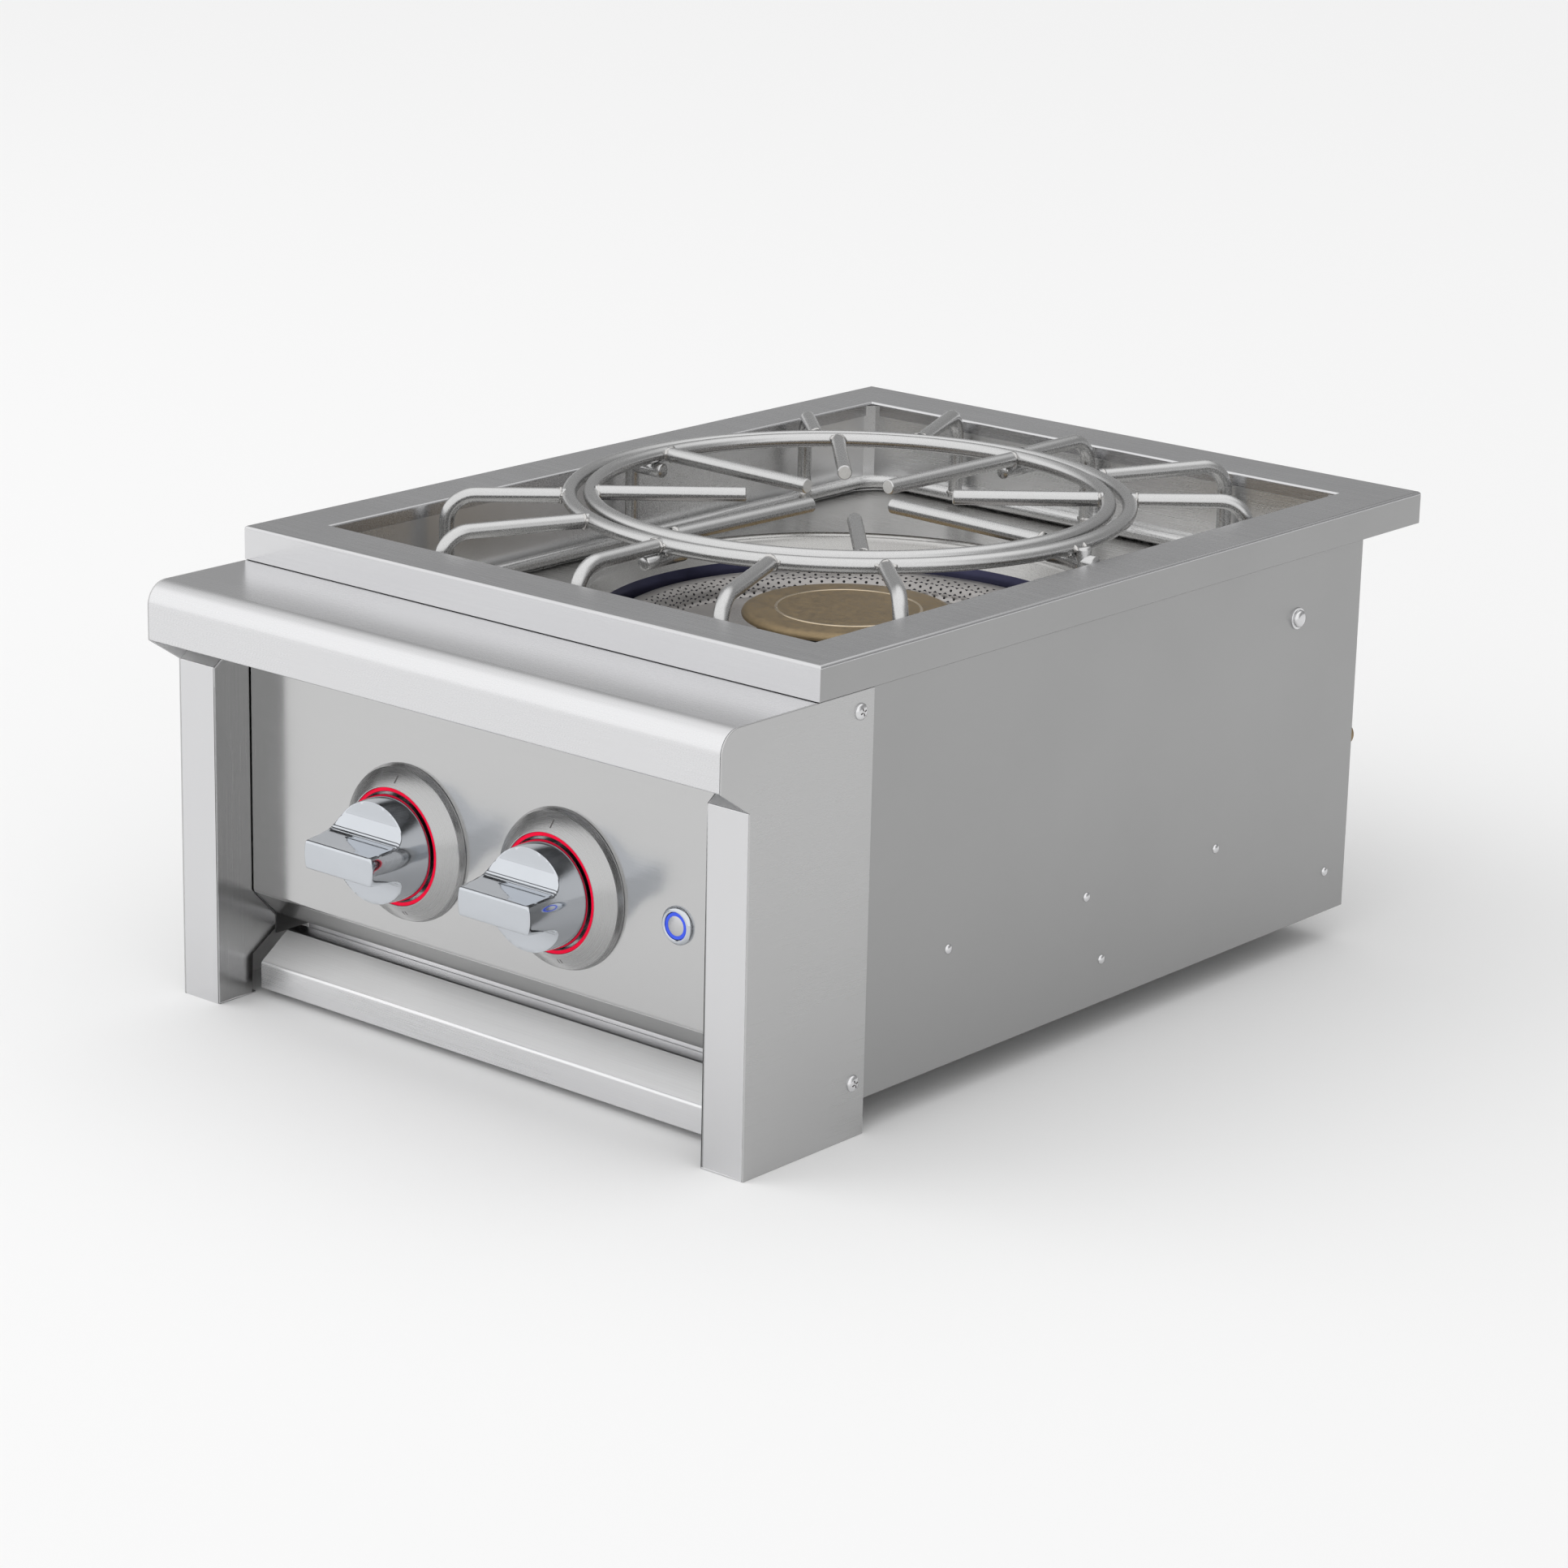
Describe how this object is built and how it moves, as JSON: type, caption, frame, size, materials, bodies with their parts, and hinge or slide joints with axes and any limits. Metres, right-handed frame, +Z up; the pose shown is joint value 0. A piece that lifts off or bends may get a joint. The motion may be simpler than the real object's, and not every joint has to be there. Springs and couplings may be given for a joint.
{
  "type": "hot plate burner",
  "caption": "Slide-in outdoor gas power burner: stainless cabinet, sunken round burner, lift-off rod grate with centre ring, turn knobs in red light rings, push button and drip tray.",
  "frame": {"origin": "on the ground plane under the middle of the whole part's box", "axes": "+X to the right as seen from the front, +Y to the back, +Z up; the knobs face -Y"},
  "size_m": [0.4642, 0.689, 0.3006],
  "materials": {
    "brushed_steel": "brushed stainless steel, fine straight grain",
    "polished_steel": "mirror-bright stainless pressing",
    "rod_steel": "bright drawn stainless rod",
    "knob_chrome": "polished chrome",
    "red_light": "translucent red ring lit from behind",
    "blue_light": "translucent blue ring lit from behind",
    "brass": "satin brass",
    "tinted_steel": "heat-tinted stainless",
    "zinc_steel": "plain zinc-plated steel",
    "black_iron": "cast iron",
    "ceramic": "white glazed insulator",
    "black_plastic": "matt black plastic",
    "lead": "silicone insulation"
  },
  "bodies": {
    "cabinet": {"top_frame": "brushed_steel", "burner_well": "polished_steel", "spill_bowl": "tinted_steel", "perforated_bowl": "brushed_steel", "left_side_panel": "brushed_steel", "right_side_panel": "brushed_steel", "back_panel": "brushed_steel", "bottom_panel": "brushed_steel", "heat_shield": "zinc_steel", "hood": "brushed_steel", "control_panel": "brushed_steel", "left_cheek": "brushed_steel", "right_cheek": "brushed_steel", "left_bezel": "brushed_steel", "right_bezel": "brushed_steel", "left_light_ring": "red_light", "right_light_ring": "red_light", "left_valve_body": "brass", "right_valve_body": "brass", "gas_manifold": "zinc_steel", "gas_pipe": "zinc_steel", "gas_inlet": "brass", "left_orifice": "brass", "right_orifice": "brass", "left_mixer_tube": "zinc_steel", "right_mixer_tube": "zinc_steel", "left_air_shutter": "zinc_steel", "right_air_shutter": "zinc_steel", "burner_body": "black_iron", "burner_bracket": "zinc_steel", "igniter": "ceramic", "igniter_lead": "lead", "ignition_module": "black_plastic", "button_housing": "knob_chrome", "button_nut": "zinc_steel", "button_switch": "black_plastic", "button_lead": "black_plastic", "tray_guides": "zinc_steel", "rear_feet": "black_plastic", "cheek_screws": "polished_steel", "side_bolts": "polished_steel", "side_rivets": "polished_steel"},
    "grate": {"grate_ring": "rod_steel", "grate_legs": "rod_steel", "grate_foot": "rod_steel", "grate_rests": "rod_steel"},
    "centre": {"centre_ring": "rod_steel", "centre_fingers": "rod_steel"},
    "cap": {"burner_cap": "brass"},
    "tray": {"drip_tray": "brushed_steel"},
    "left_plug": {"left_valve_plug": "brass", "left_spring": "zinc_steel"},
    "right_plug": {"right_valve_plug": "brass", "right_spring": "zinc_steel"},
    "left_control": {"left_stem": "zinc_steel", "left_knob": "knob_chrome"},
    "right_control": {"right_stem": "zinc_steel", "right_knob": "knob_chrome"},
    "button": {"button_cap": "knob_chrome", "button_light": "blue_light"}
  },
  "joints": [
    {"name": "grate_lift", "type": "slide", "parent": "cabinet", "child": "grate", "axis": [0, 0, 1], "range_m": [0, 0.08]},
    {"name": "centre_lift", "type": "slide", "parent": "grate", "child": "centre", "axis": [0, 0, 1], "range_m": [0, 0.06]},
    {"name": "cap_lift", "type": "slide", "parent": "cabinet", "child": "cap", "axis": [0, 0, 1], "range_m": [0, 0.03]},
    {"name": "tray_pull", "type": "slide", "parent": "cabinet", "child": "tray", "axis": [0, -1, 0], "range_m": [0, 0.3]},
    {"name": "left_knob_turn", "type": "hinge", "parent": "cabinet", "child": "left_plug", "pos_m": [-0.063, -0.2862, 0.128], "axis": [0, -1, 0], "range_deg": [0, 225]},
    {"name": "left_knob_push", "type": "slide", "parent": "left_plug", "child": "left_control", "axis": [0, 1, 0], "range_m": [0, 0.003], "stiffness_N_per_m": 1500, "springref_m": -0.002, "deforming": ["left_spring"]},
    {"name": "right_knob_turn", "type": "hinge", "parent": "cabinet", "child": "right_plug", "pos_m": [0.063, -0.2862, 0.128], "axis": [0, -1, 0], "range_deg": [0, 225]},
    {"name": "right_knob_push", "type": "slide", "parent": "right_plug", "child": "right_control", "axis": [0, 1, 0], "range_m": [0, 0.003], "stiffness_N_per_m": 1500, "springref_m": -0.002, "deforming": ["right_spring"]},
    {"name": "button_press", "type": "slide", "parent": "cabinet", "child": "button", "axis": [0, 1, 0], "range_m": [0, 0.0018], "stiffness_N_per_m": 1000, "springref_m": -0.001}
  ]
}
